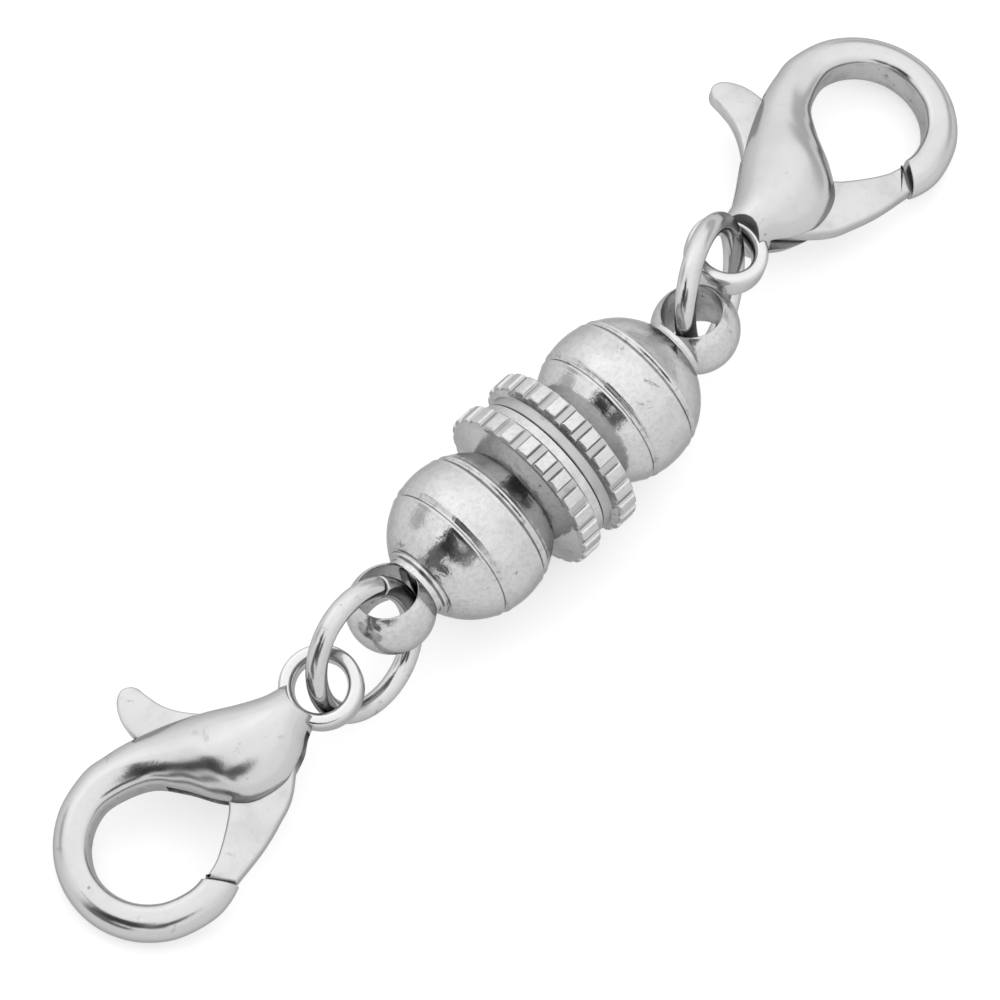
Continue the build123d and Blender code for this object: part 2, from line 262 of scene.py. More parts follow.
@dataclass(frozen=True)
class PlatedFinish:
    """Bright silver-coloured plating with the unevenness of its cast or turned base.

    A ramp is the level where a mark starts and where it is full. A depth is a share of the shade.
    """

    name: str
    tone: float = 0.50
    shade: float = 0.42
    roughness: float = 0.15
    haze: float = 0.12
    haze_ramp: Ramp = (0.35, 0.75)
    swell: float = 5.0
    swell_size: float = 0.9
    swell_detail: float = 3.5
    grain: float = 0.5
    grain_size: float = 0.09
    pits: float = 1.6
    pit_spacing: float = 1.5
    pit_size: float = 0.07
    pit_stain: float = 0.6
    tarnish_ramp: Ramp = (0.42, 0.78)
    stains: float = 0.45
    stain_size: float = 0.8
    stain_ramp: Ramp = (0.62, 0.70)
    stain_depth: float = 0.35
    mottle: float = 0.0
    mottle_size: float = 0.16
    mottle_ramp: Ramp = (0.42, 0.66)
    mottle_depth: float = 0.55
    dirt_at: tuple[float, ...] = ()
    dirt: float = 0.45
    dirt_size: float = 0.30
    dirt_ramp: Ramp = (0.52, 0.66)
    dirt_reach: Ramp = (0.03, 0.22)
    dirt_depth: float = 0.25
    # Painted shade: darkening of the corners and gaps that the ambient occlusion finds.
    crevice_shade: float = 0.22
    crevice_shade_reach: float = 0.5
    crevice_shade_ramp: Ramp = (0.30, 0.90)
    crevice_shade_depth: float = 0.22
    lathe: float = 0.0
    lathe_pitch: float = 0.035
    round_edge: float = 0.0
    relief: float = 0.004
    glint: float = 0.55

    def marked(self, graph: Graph, colour: Colour) -> Socket:
        """Add the mottle, the dirt beside the turned edges and painted shade in the corners.

        Args:
            graph: Graph of the material.
            colour: Colour of the plating.

        Returns:
            The colour with its marks.
        """
        if self.mottle:
            speckle = graph.noise(self.mottle_size, 4.0, 0.7).smooth(*self.mottle_ramp)
            colour = graph.mix(speckle * self.mottle, colour, grey(self.shade * self.mottle_depth))
        if self.dirt_at:
            along = graph.node("SeparateXYZ", {}, {"Vector": graph.place(1.0)}, "X")
            station = abs(along - SEAM[0])
            ragged = graph.noise(self.dirt_size, 5.0, 0.65, 0.6).smooth(*self.dirt_ramp)
            for edge in self.dirt_at:
                beside = 1.0 - abs(station - edge).smooth(*self.dirt_reach)
                colour = graph.mix(beside * ragged * self.dirt, colour, grey(self.shade * self.dirt_depth))
        # Painted shade: darken the colour where the ambient occlusion finds nearby surfaces.
        reach = {"Distance": self.crevice_shade_reach * MM}
        hidden = 1.0 - graph.node("AmbientOcclusion", {"samples": 4}, reach, "AO")
        crevice_shade = hidden.smooth(*self.crevice_shade_ramp) * self.crevice_shade
        return graph.mix(crevice_shade, colour, grey(self.shade * self.crevice_shade_depth))

    @cached_property
    def material(self) -> Material:
        """Material, built when it is first asked for.

        Returns:
            The node-based material.
        """
        made = bpy.data.materials.new(self.name)
        graph = Graph(made)
        cloud = graph.noise(self.swell_size * 1.7, 3.0, 0.6)
        fine = graph.noise(self.grain_size * 3.0, 3.0, 0.65)
        pits = graph.spots(self.pit_spacing, self.pit_size)
        tarnish = cloud.smooth(*self.tarnish_ramp) * 0.6 + fine.smooth(0.5, 0.8) * 0.4
        colour = graph.mix(tarnish, grey(self.tone), grey(self.shade))
        stain = graph.noise(self.stain_size, 6.0, 0.72, 0.4).smooth(*self.stain_ramp) * self.stains
        colour = graph.mix(stain + pits * self.pit_stain, colour, grey(self.shade * self.stain_depth))
        rough = self.roughness + cloud.smooth(*self.haze_ramp) * self.haze + fine.smooth(0.55, 0.8) * 0.05
        swell = graph.noise(self.swell_size, self.swell_detail, 0.5, 0.3)
        grain = graph.noise(self.grain_size, 2.0)
        height = swell * self.swell + grain * self.grain - pits * self.pits
        if self.lathe:
            height += graph.noise(self.lathe_pitch, 2.0, stretch=LATHE_STRETCH) * self.lathe
        bump = {"Distance": self.relief * MM, "Height": height}
        if self.round_edge:
            bump["Normal"] = graph.node("Bevel", {"samples": 3}, {"Radius": self.round_edge * MM})
        inputs = {
            "Base Color": self.marked(graph, colour),
            "Metallic": 1.0,
            "Roughness": rough,
            "Specular Tint": grey(self.glint),
            "Normal": graph.node("Bump", {}, bump),
        }
        graph.surface(inputs)
        return made


# Mesh building


def turns(count: int) -> list[float]:
    """Equal steps round a circle, in radians."""
    return [tau * k / count for k in range(count)]


def circle(radius: float, count: int, height: float = 0.0) -> list[Vector]:
    """Points of a circle about z at a height."""
    return [Vector((radius * cos(a), radius * sin(a), height)) for a in turns(count)]


def polar(radius: float, angle: float, centre: Flat = (0.0, 0.0)) -> Point:
    """Plan point at a radius and an angle in degrees about a centre."""
    turn = radians(angle)
    return (centre[0] + radius * cos(turn), centre[1] + radius * sin(turn), 0.0)


class Shell:
    """Vertices and faces of one piece, gathered in millimetres."""

    def __init__(self) -> None:
        """Start empty."""
        self.points: list[Vector] = []
        self.faces: list[tuple[int, ...]] = []
        self.marks: list[int] = []

    def face(self, corners: Sequence[int], mark: int = 0) -> None:
        """Add one face with its material number."""
        self.faces.append(tuple(corners))
        self.marks.append(mark)

    def grid(self, rows: Rows, around: bool = True, mark: int = 0) -> None:
        """Add a quad grid.

        Args:
            rows: Rows of points, all of one length.
            around: Whether each row closes on itself.
            mark: Material number of the faces.
        """
        base, count = len(self.points), len(rows[0])
        self.points += [Vector(p) for row in rows for p in row]
        for near in range(base, base + (len(rows) - 1) * count, count):
            far = near + count
            for k in range(count if around else count - 1):
                m = (k + 1) % count
                self.face((near + k, near + m, far + m, far + k), mark)

    def fans(self, rows: Rows) -> None:
        """Close the first and the last row of a grid, each with a fan to its middle.

        Args:
            rows: Rows of the grid.
        """
        for ring, order in ((rows[0], -1), (rows[-1], 1)):
            base, count = len(self.points), len(ring)
            self.points += [*ring, sum(ring, Vector()) / count]
            for k in range(count):
                self.face((base + k, base + (k + 1) % count, base + count)[::order])

    def caps(self, rings: Rows) -> None:
        """Close each ring with one flat face.

        Args:
            rings: Rings of points.
        """
        for ring in rings:
            base = len(self.points)
            self.points += ring
            self.face(range(base, base + len(ring)))

    def move(self, matrix: Matrix) -> "Shell":
        """Place every point by a matrix in millimetres, and return this shell."""
        self.points = [matrix @ p for p in self.points]
        return self

    def build(self, name: str, finishes: Finishes, crease: float = CREASE) -> Object:
        """Make the Blender object.

        Args:
            name: Name of the piece.
            finishes: Its materials.
            crease: Angle in degrees over which an edge stays sharp.

        Returns:
            The object, in metres.
        """
        data = bpy.data.meshes.new(name)
        data.from_pydata([tuple(p * MM) for p in self.points], [], self.faces)
        work = bmesh.new()
        work.from_mesh(data)
        for face, mark in zip(work.faces, self.marks):
            face.material_index = mark
            face.smooth = True
        bmesh.ops.remove_doubles(work, verts=work.verts, dist=0.0008 * MM)
        bmesh.ops.recalc_face_normals(work, faces=work.faces)
        work.to_mesh(data)
        work.free()
        data.set_sharp_from_angle(angle=radians(crease))
        for finish in finishes:
            data.materials.append(finish)
        piece = bpy.data.objects.new(name, data)
        bpy.context.scene.collection.objects.link(piece)
        return piece


def carve(piece: Object, tools: Sequence[Object]) -> None:
    """Cut tools out of a cast piece and remove them.

    Args:
        piece: The piece to cut.
        tools: Closed tool objects.
    """
    for tool in tools:
        cut = piece.modifiers.new("cut", "BOOLEAN")
        cut.operation = "DIFFERENCE"
        cut.solver = "EXACT"
        cut.object = tool
        bpy.context.view_layer.update()
        graph = bpy.context.evaluated_depsgraph_get()
        data = bpy.data.meshes.new_from_object(piece.evaluated_get(graph))
        piece.modifiers.clear()
        old = piece.data
        piece.data = data
        bpy.data.meshes.remove(old)
        bpy.data.objects.remove(tool)
    piece.data.shade_smooth()
    piece.data.set_sharp_from_angle(angle=radians(CAST_CREASE))


def softened(corners: Sequence[Point]) -> list[Flat]:
    """Round the corners of an open outline.

    Args:
        corners: Points as x, y and fillet length.

    Returns:
        Points of the rounded outline.
    """
    out: list[Flat] = []
    for i, (x, y, fillet) in enumerate(corners):
        if fillet <= 0 or i in (0, len(corners) - 1):
            out.append((x, y))
            continue
        here = Vector((x, y))
        before = Vector(corners[i - 1][:2]) - here
        after = Vector(corners[i + 1][:2]) - here
        reach = min(fillet, before.length * CORNER_SHARE, after.length * CORNER_SHARE)
        start = here + before.normalized() * reach
        end = here + after.normalized() * reach
        for k in range(CORNER_STEPS + 1):
            t = k / CORNER_STEPS
            point = start * (1 - t) ** 2 + here * 2 * t * (1 - t) + end * t**2
            out.append((point.x, point.y))
    return out


def curve_through(points: Sequence[Sequence[float]], steps: int) -> list[list[float]]:
    """Sample an open Catmull-Rom curve through rows of numbers.

    Args:
        points: Rows of numbers, all of one length.
        steps: Samples for each span.

    Returns:
        The sampled rows.
    """
    first = [2 * a - b for a, b in zip(points[0], points[1])]
    last = [2 * a - b for a, b in zip(points[-1], points[-2])]
    held = [first, *points, last]
    out = []
    for span in zip(held, held[1:], held[2:], held[3:]):
        for k in range(steps):
            t = k / steps
            row = []
            for a, b, c, d in zip(*span):
                bend = (2 * a - 5 * b + 4 * c - d) * t**2 + (3 * b - a - 3 * c + d) * t**3
                row.append(0.5 * (2 * b + (c - a) * t + bend))
            out.append(row)
    return out + [list(points[-1])]


def placement(origin: Vector, x_way: Vector, z_way: Vector) -> Matrix:
    """Placement in millimetres with its z along one direction and its x near another.

    Args:
        origin: Where it is.
        x_way: Its x, apart from what lies along z.
        z_way: Its z.

    Returns:
        The matrix.
    """
    z = z_way.normalized()
    y = z.cross(x_way.normalized()).normalized()
    turn = Matrix((y.cross(z), y, z)).transposed().to_4x4()
    return Matrix.Translation(origin) @ turn


def prism(points: Sequence[Vector], low: float, high: float, mark: int = 0) -> Shell:
    """Closed prism over a plan outline.

    Args:
        points: Plan outline.
        low: Lower height.
        high: Upper height.
        mark: Material number of the faces.

    Returns:
        Its shell.
    """
    shell = Shell()
    rings = [[p + Vector((0, 0, height)) for p in points] for height in (low, high)]
    shell.grid(rings)
    shell.caps(rings)
    shell.marks = [mark] * len(shell.faces)
    return shell


def show(piece: Object, body: str, slot: str, *nodes: str) -> None:
    """Tie a piece to its body and CAD nodes, and report it.

    Args:
        piece: The piece.
        body: CAD body it rides on.
        slot: Not used.
        nodes: CAD nodes it stands for.
    """
    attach(piece, body)
    if nodes:
        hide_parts(*nodes)
    LOG.info("%s: %d faces on %s", piece.name, len(piece.data.polygons), body)


# Sub-assemblies


@dataclass
class BarrelHalf:
    """Turned half: lip, knurled collar, waist, grooved ball, stepped neck and eye ball.

    A station is a distance from the seam along the barrel's axis.
    """

    side: Side
    knurl_turn: float
    face: float = 0.007
    lip_r: float = 2.66
    lip_length: float = 0.36
    knurl_r: float = 2.9985
    knurl_bevel: float = 0.12
    knurl_length: float = 0.66
    teeth: int = 25
    gap_width: float = 0.30
    gap_depth: float = 0.13
    gap_ease: float = 0.04
    waist_r: float = 1.90
    waist_length: float = 0.36
    ball_r: float = 2.66
    ball_steps: int = 150
    ball_points: int = 200
    groove_offset: float = 0.84
    groove_width: float = 0.25
    groove_depth: float = 0.08
    burr_offset: float = 0.64
    burr_width: float = 0.045
    burr_height: float = 0.018
    step_r: float = 1.46
    bead_r: float = 1.28
    bead_length: float = 0.14
    neck_r: float = 1.08
    neck_length: float = 0.22
    eye_r: float = 1.46
    eye_points: int = 144
    wall_steps: int = 24
    arc_steps: int = 56
    hole_r: float = 1.0
    rim_ease: Flats = ((0.006, 0.02), (0.022, 0.008))
    lean: float = 10.0
    pocket_r: float = 2.13
    pocket_end: float = 1.155

    def __post_init__(self) -> None:
        """Work out the stations and radii that follow from the sizes."""
        self.waist_x = self.lip_length + self.knurl_bevel + self.knurl_length + self.waist_length
        self.ball_x = self.waist_x + sqrt(self.ball_r**2 - self.waist_r**2)
        self.step_x = self.ball_x + sqrt(self.ball_r**2 - self.step_r**2)
        self.neck_end = self.step_x + self.bead_length + self.neck_length
        self.eye_x = self.neck_end + sqrt(self.eye_r**2 - self.neck_r**2)
        self.gap_floor = self.knurl_r - self.gap_depth
        self.gap_middle = self.knurl_r - self.gap_depth / 2
        self.pitch = 360 / self.teeth

    def collar_profile(self) -> list[Flat]:
        """Draw the outline from the magnet's pocket to the waist.

        Returns:
            Stations and radii.
        """
        start = self.lip_length + self.knurl_bevel
        end = start + self.knurl_length
        share = (self.knurl_r - self.gap_floor) / (self.knurl_r - self.lip_r)
        crisp, eased, soft = (edge.value for edge in Edge)
        corners = [
            (self.pocket_end, 0.0, 0),
            (self.pocket_end, self.pocket_r, crisp),
            (self.face, self.pocket_r, crisp),
            (self.face, self.lip_r, eased),
            (self.lip_length - 0.02, self.lip_r, eased),
            (self.lip_length, self.lip_r + 0.02, crisp),
            (start - self.knurl_bevel * share, self.gap_floor, 0),
            (start, self.knurl_r, eased),
            (end, self.knurl_r, eased),
            (end + 0.04, self.gap_floor, crisp),
            (end + 0.06, self.knurl_r - 0.28, crisp),
            (self.waist_x - 0.10, self.waist_r + 0.24, soft),
            (self.waist_x, self.waist_r - 0.02, 0),
        ]
        return softened(corners)

    def ball_profile(self) -> list[Flat]:
        """Draw the outline from the waist to the end of the neck.

        Returns:
            Stations and radii.
        """
        out = [(self.waist_x - 0.02, self.waist_r - 0.03)]
        for i in range(self.ball_steps + 1):
            x = self.waist_x + (self.step_x - self.waist_x) * i / self.ball_steps
            r = sqrt(max(self.ball_r**2 - (x - self.ball_x) ** 2, 0))
            for groove in (self.ball_x - self.groove_offset, self.ball_x + self.groove_offset):
                away = abs(x - groove)
                reach = min(away / (self.groove_width / 2), 1.0)
                r -= self.groove_depth * (0.5 + 0.5 * cos(pi * reach)) ** 0.8
                burr = (away - self.groove_width * self.burr_offset) / self.burr_width
                r += self.burr_height * exp(-burr * burr)
            out.append((x, r))
        crisp, eased, _ = (edge.value for edge in Edge)
        bead_end, neck_end = self.step_x + self.bead_length, self.neck_end
        corners = [
            (self.step_x + 0.001, self.step_r, 0),
            (self.step_x + 0.015, self.step_r - 0.02, crisp),
            (self.step_x + 0.02, self.bead_r, crisp),
            (bead_end, self.bead_r, eased),
            (bead_end + 0.01, self.neck_r, eased),
            (neck_end, self.neck_r, 0),
        ]
        # The last points are hidden inside the eye ball.
        hidden = ((0.02, self.neck_r - 0.02), (0.07, self.neck_r - 0.14), (0.07, 0.0))
        return out + softened(corners) + [(neck_end + past, r) for past, r in hidden]

    def knurled(self, x: float, r: float, angle: float) -> float:
        """Radius at a station and angle once the gaps are cut.

        Args:
            x: Station.
            r: Radius of the outline.
            angle: Angle in degrees.

        Returns:
            The radius.
        """
        if r <= self.gap_floor or not self.lip_length <= x <= self.waist_x:
            return r
        offset = (angle - self.knurl_turn) % self.pitch - self.pitch / 2
        reach = abs(radians(offset)) * self.gap_middle
        t = min(max((reach - self.gap_width / 2 + self.gap_ease) / (2 * self.gap_ease), 0), 1)
        return min(r, self.gap_floor + self.gap_depth * t * t * (3 - 2 * t) + 1e-4)

    def tooth_angles(self) -> list[float]:
        """List angles that catch every tooth edge.

        Returns:
            Angles in degrees.
        """
        pitch = self.pitch
        half = degrees(self.gap_width / 2 / self.gap_middle)
        ease = degrees(self.gap_ease / self.gap_middle)
        sides = [half - ease * f for f in (1.5, 1.0, 0.5, 0.0, -0.5, -1.0, -1.6)]
        inner = [-half * 0.5, 0.0, half * 0.5]
        outer = [half + (pitch / 2 - half) * f for f in (0.35, 0.65, 0.9)]
        offsets = sorted([-v for v in sides + outer] + inner + sides + outer)
        return [self.knurl_turn + pitch / 2 + i * pitch + v for i in range(self.teeth) for v in offsets]

    def mark_at(self, x: float, r: float) -> int:
        """Finish of the outline at a station and radius: pocket, lip or outside."""
        inside = r < self.pocket_r + 0.01 and x < self.waist_x - 0.2
        return 1 if inside else (3 if x < self.lip_length else 0)

    def spin(self, shell: Shell, profile: Sequence[Flat], angles: Sequence[float]) -> None:
        """Turn an outline about the barrel's axis.

        Args:
            shell: Shell that takes the faces.
            profile: Stations and radii.
            angles: Angles in degrees.
        """
        rows = []
        for x, r in profile:
            row = []
            for angle in angles:
                radius = self.knurled(x, r, angle)
                turn = radians(angle)
                row.append(Vector((x, radius * cos(turn), radius * sin(turn))))
            rows.append(row)
        for i, ((x0, r0), (x1, r1)) in enumerate(zip(profile, profile[1:])):
            shell.grid(rows[i : i + 2], mark=self.mark_at((x0 + x1) / 2, (r0 + r1) / 2))

    def shade_gaps(self, shell: Shell) -> None:
        """Give the faces at the bottom of the knurl's gaps the recess finish: rougher, and darker in tone as
        painted shade.

        Args:
            shell: Shell with the collar's faces.
        """
        start, end = self.lip_length + self.knurl_bevel * 0.5, self.waist_x - self.waist_length + 0.03
        for number, face in enumerate(shell.faces):
            middle = sum((shell.points[i] for i in face), Vector()) / len(face)
            radius = hypot(middle.y, middle.z)
            if start < middle.x < end and self.lip_r < radius < self.knurl_r - self.gap_depth * 0.35:
                shell.marks[number] = 2

    def eye(self, shell: Shell) -> None:
        """Add the cross-drilled eye ball, turned about its own hole.

        Args:
            shell: Shell that takes the faces.
        """
        rim = sqrt(self.eye_r**2 - self.hole_r**2)
        top = asin(rim / self.eye_r) * 0.955
        steps = self.wall_steps
        outline = [(self.hole_r, -rim + 0.05 + (2 * rim - 0.1) * i / steps) for i in range(steps + 1)]
        outline += [(self.hole_r + aside, rim - below) for aside, below in self.rim_ease]
        for i in range(self.arc_steps + 1):
            a = top * (1 - 2 * i / self.arc_steps)
            outline.append((self.eye_r * cos(a), self.eye_r * sin(a)))
        outline += [(self.hole_r + aside, -rim + below) for aside, below in reversed(self.rim_ease)]
        outline.append(outline[0])
        tilt = Matrix.Rotation(radians(-self.lean), 4, "X")
        place = Matrix.Translation((self.eye_x, 0, 0)) @ tilt
        rows = [[place @ p for p in circle(r, self.eye_points, z)] for r, z in outline]
        for number in range(len(rows) - 1):
            shell.grid(rows[number : number + 2], mark=1 if number < steps else 0)

    def build(self, finishes: Finishes) -> None:
        """Build and place the half.

        Args:
            finishes: Outside, bored inside, gaps between the knurl's teeth with painted shade, and lip.
        """
        shell = Shell()
        self.spin(shell, self.collar_profile(), self.tooth_angles())
        self.shade_gaps(shell)
        fine = [360 * k / self.ball_points for k in range(self.ball_points)]
        self.spin(shell, self.ball_profile(), fine)
        self.eye(shell)
        piece = shell.move(self.side.seat).build("barrel_half_" + self.side.letter, finishes)
        show(piece, self.side.body, "plating", "half_" + self.side.letter)


@dataclass
class DiscMagnet:
    """Flat disc magnet set in a half's face, with eased edges."""

    side: Side
    start: float = 0.075
    length: float = 1.05
    radius: float = 2.10
    points: int = 96

    def build(self, finish: Material) -> None:
        """Build and place the magnet.

        Args:
            finish: Its plated finish.
        """
        start, end, eased = self.start, self.start + self.length, Edge.EASED.value
        corners = [(start, 0, 0), (start, self.radius, eased), (end, self.radius, eased), (end, 0, 0)]
        shell = Shell()
        rows = []
        for x, r in softened(corners):
            rows.append([Vector((x, r * cos(a), r * sin(a))) for a in turns(self.points)])
        shell.grid(rows)
        piece = shell.move(self.side.seat).build("disc_magnet_" + self.side.letter, [finish])
        show(piece, self.side.body, "magnet", "magnet_" + self.side.letter)


@dataclass
class JumpRing:
    """Round wire bent to a ring that lies in an eye ball's hole, its ends meeting at a fine slit.

    The seat is an angle round the hole and a share of the free play there. The hang is the
    ring's heading, rise and roll. The ends are shares of the rounding and of the wire's radius.
    """

    half: BarrelHalf
    seat: Flat
    hang: Point
    slit_at: float
    outside: float = 4.95
    wire_r: float = 0.35
    slit: float = 0.08
    play: float = 0.04
    rounding: float = 0.05
    ends: Flats = ((0.0, 0.80), (0.25, 0.93), (0.6, 0.985), (1.0, 1.0))
    steps: int = 180
    points: int = 40

    @property
    def middle(self) -> float:
        """Radius of the wire's middle line."""
        return self.outside / 2 - self.wire_r

    def place(self) -> Matrix:
        """Work out the plane of the ring.

        Returns:
            Placement at its centre, with x back towards the eye ball and z along its normal.
        """
        half = self.half
        angle, share = self.seat
        lean, turn = radians(half.lean), radians(angle)
        hole = Vector((0, sin(lean), cos(lean)))
        outward = Vector((half.side.value, 0, 0))
        free = (half.hole_r - self.wire_r - self.play) * share
        aside = (outward * cos(turn) + hole.cross(outward) * sin(turn)) * free
        heading, rise, roll = (radians(value) for value in self.hang)
        level_reach = cos(rise)
        reach = Vector((level_reach * cos(heading), level_reach * sin(heading), sin(rise)))
        level = Vector((0, 0, 1)).cross(reach).normalized()
        normal = level * cos(roll) + reach.cross(level) * sin(roll)
        centre = Vector(SEAM) + outward * half.eye_x + aside + reach * self.middle
        return placement(centre, -reach, normal)

    def build(self, finish: Material) -> None:
        """Build and place the ring.

        Args:
            finish: Its plated finish.
        """
        middle = self.middle
        start = degrees(self.slit / 2 / middle)
        ends = [(start + degrees(self.rounding * share / middle), size) for share, size in self.ends]
        last = ends[-1][0]
        span = 360 - 2 * last
        profile = ends + [(last + span * i / self.steps, 1.0) for i in range(1, self.steps)]
        profile += [(360 - turn, size) for turn, size in reversed(ends)]
        rows = []
        for turn, size in profile:
            out = Vector(polar(1.0, turn + self.slit_at))
            ring = []
            for b in turns(self.points):
                aside, up = self.wire_r * size * cos(b), self.wire_r * size * sin(b)
                ring.append(out * (middle + aside) + Vector((0, 0, up)))
            rows.append(ring)
        shell = Shell()
        shell.grid(rows)
        shell.fans(rows)
        side = self.half.side
        piece = shell.move(self.place()).build("jump_ring_wire_" + side.letter, [finish])
        show(piece, side.body, "plating", "jump_ring_" + side.letter)


@dataclass
class TriggerClaw:
    """Cast claw: eye, slotted pear body and hook, with its lever.

    A row of the pear holds its outer and inner point, height and squareness. A row of the bar holds
    an angle, reaches outwards and inwards, and a height. Lengths there are shares of sizes.
    """

    side: Side
    eye_hole_r: float = 0.86
    eye_wall: float = 0.50
    eye_height: float = 0.90
    eye_flat: float = 0.5
    eye_round: float = 0.7
    eye_steps: int = 112
    eye_points: int = 40
    bore_points: int = 96
    eye_to_hook: float = 7.30
    hook_offset: float = 0.07
    hook_r: float = 2.53
    bar_width: float = 1.16
    bar_height: float = 1.42
    tip_angle: float = -106.0
    tip_slant: float = 21.0
    belly_width: float = 3.90
    belly_height: float = 2.84
    lever_thickness: float = 0.56
    lever_edge: float = 0.11
    slot_clearance: float = 0.05
    gate_gap: float = 0.08
    gate_outside: float = 0.56
    gate_inside: float = 0.42
    pivot: Flat = (2.30, 0.05)
    boss_r: float = 0.95
    boss_angles: tuple[float, ...] = (110, 150, 190, 230)
    thumb_reach: float = 4.38
    lift: float = 0.0016
    pear: Table = (
        (0.095, 0.215, 0.095, -0.170, 0.52, 2.0),
        (0.125, 0.228, 0.120, -0.178, 0.68, 2.0),
        (0.160, 0.240, 0.152, -0.192, 0.79, 2.0),
        (0.215, 0.272, 0.198, -0.232, 0.89, 2.0),
        (0.311, 0.366, 0.270, -0.325, 0.97, 2.0),
        (0.432, 0.505, 0.405, -0.400, 1.00, 1.9),
        (0.554, 0.621, 0.554, -0.335, 0.98, 1.9),
        (0.662, 0.705, 0.652, -0.144, 0.85, 2.0),
        (0.770, 0.774, 0.733, 0.126, 0.71, 2.5),
        (0.878, 0.818, 0.832, 0.362, 0.60, 3.4),
    )
    bar: Table = (
        (90, 1.18, 1.22, 1.05), (65, 1.08, 1.10, 1.01), (40, 1.02, 1.04, 1.0),
        (15, 1.0, 1.0, 1.0), (-10, 1.0, 1.0, 1.0), (-35, 1.0, 0.99, 1.0),
        (-60, 1.03, 0.96, 0.97), (-85, 1.07, 0.90, 0.93), (-103, 1.08, 0.86, 0.88),
        (-122, 1.04, 0.82, 0.83),
    )
    squareness: float = 3.8
    row_steps: int = 12
    row_points: int = 88
    rough_row: int = 5
    rough_half: float = 0.44
    lever_inner: Flats = (
        (0.851, -0.720), (0.770, -0.591), (0.703, -0.459), (0.655, -0.350), (0.622, -0.214), (0.608, 0.046),
        (0.635, 0.228), (0.676, 0.434), (0.726, 0.594), (0.736, 0.719), (0.723, 0.845), (0.682, 0.959),
        (0.628, 1.0), (0.580, 0.945), (0.566, 0.822), (0.547, 0.696), (0.500, 0.559), (0.419, 0.411),
    )
    lever_arm: Flats = ((0.405, -0.735), (0.541, -0.905), (0.676, -1.015))
    slot_edge: Flats = (
        (0.790, 1.300), (0.757, 0.594), (0.689, 0.411), (0.797, 0.205), (0.757, -0.117), (0.703, -1.200),
    )

    @cached_property
    def place(self) -> Matrix:
        """Plane of the claw, from its gate's hinge and its hook's mount in the frame.

        Returns:
            Placement at the eye's centre, with x towards the hook and z along the hinge.
        """
        hinge = next(j for j in frame["joints"] if j["name"] == "gate_" + self.side.letter)
        mount = next(m for m in frame["record"]["mounts"] if m["name"] == "hook_" + self.side.letter)
        pivot, hook = Vector(hinge["pos_m"]) / MM, Vector(mount["pos_m"]) / MM
        z_way = Vector(hinge["axis"]).normalized()
        across, up = self.pivot
        turn = atan2(self.hook_offset - up, self.eye_to_hook - across)
        reach = (hook - pivot).normalized()
        x_way = reach * cos(turn) - z_way.cross(reach) * sin(turn)
        origin = pivot - x_way * across - z_way.cross(x_way) * up + Vector((0, 0, self.lift))
        return placement(origin, x_way, z_way)

    def hook_point(self, angle: float, radius: float) -> Vector:
        """Point at an angle in degrees and a radius about the hook's centre."""
        return Vector(polar(radius, angle, (self.eye_to_hook, self.hook_offset)))

    def tip_ways(self) -> tuple[Vector, Vector]:
        """Directions that the tip faces, and along its face from inside to outside."""
        out = Vector(polar(1.0, self.tip_angle - 90 - self.tip_slant))
        return out, Vector((-out.y, out.x, 0))

    def plan(self, point: Flat) -> Vector:
        """Lever plan point from shares of the claw's sizes."""
        x, y = point
        return Vector((x * self.eye_to_hook, y * (self.thumb_reach if y > 0 else self.hook_r), 0))

    def body_rows(self) -> list[list[Vector]]:
        """Draw the body from the eye's end round the hook.

        Returns:
            Closed rows of points, first to last.
        """
        length, width = self.eye_to_hook, self.belly_width
        rows: list[list[float]] = []
        for x_out, y_out, x_in, y_in, height, square in self.pear:
            points = [x_out * length, y_out * width, x_in * length, y_in * width]
            rows.append([*points, height * self.belly_height / 2, square])
        for angle, outside, inside, height in self.bar:
            outer = self.hook_point(angle, self.hook_r + outside * self.bar_width / 2)
            inner = self.hook_point(angle, self.hook_r - inside * self.bar_width / 2)
            rows.append([outer.x, outer.y, inner.x, inner.y, height * self.bar_height / 2, self.squareness])
        out = []
        for x_out, y_out, x_in, y_in, height, square in curve_through(rows, self.row_steps):
            outer, inner = Vector((x_out, y_out, 0)), Vector((x_in, y_in, 0))
            centre, reach = (outer + inner) / 2, (outer - inner) / 2
            ring = []
            for a in turns(self.row_points):
                c, s = cos(a), sin(a)
                power = 2 / (2.0 if c > 0 else square)
                u = copysign(abs(c) ** power, c)
                v = copysign(abs(s) ** power, s)
                ring.append(centre + reach * u + Vector((0, 0, height * v)))
            out.append(ring)
        return out

    def tools(self, finishes: Finishes) -> list[Object]:
        """Make what is cut out of the body.

        Args:
            finishes: The body's finishes, the rough one last.

        Returns:
            A block that trims the tip, a slot between the cheeks and the bore of the eye.
        """
        out, face = self.tip_ways()
        tip = placement(self.hook_point(self.tip_angle, self.hook_r), face, out)
        wide, tall = self.bar_width, self.bar_height
        block = [Vector((x, y, 0)) for x, y in ((-wide, -tall), (wide, -tall), (wide, tall), (-wide, tall))]
        near = self.pivot[0] - self.boss_r - 0.08
        edge = [self.plan(p) for p in self.slot_edge]
        edge = [Vector((near, edge[0].y, 0)), *edge, Vector((near, edge[-1].y, 0))]
        half = self.lever_thickness / 2 + self.slot_clearance
        radius = self.eye_hole_r + self.eye_wall * 0.35
        cuts = (
            (prism(block, 0.0, wide).move(self.place @ tip), []),
            (prism(edge, -half, half, 1).move(self.place), finishes),
            (prism(circle(radius, self.bore_points), -2.0, 2.0, 1).move(self.place), finishes),
        )
        return [shell.build("tool", materials) for shell, materials in cuts]

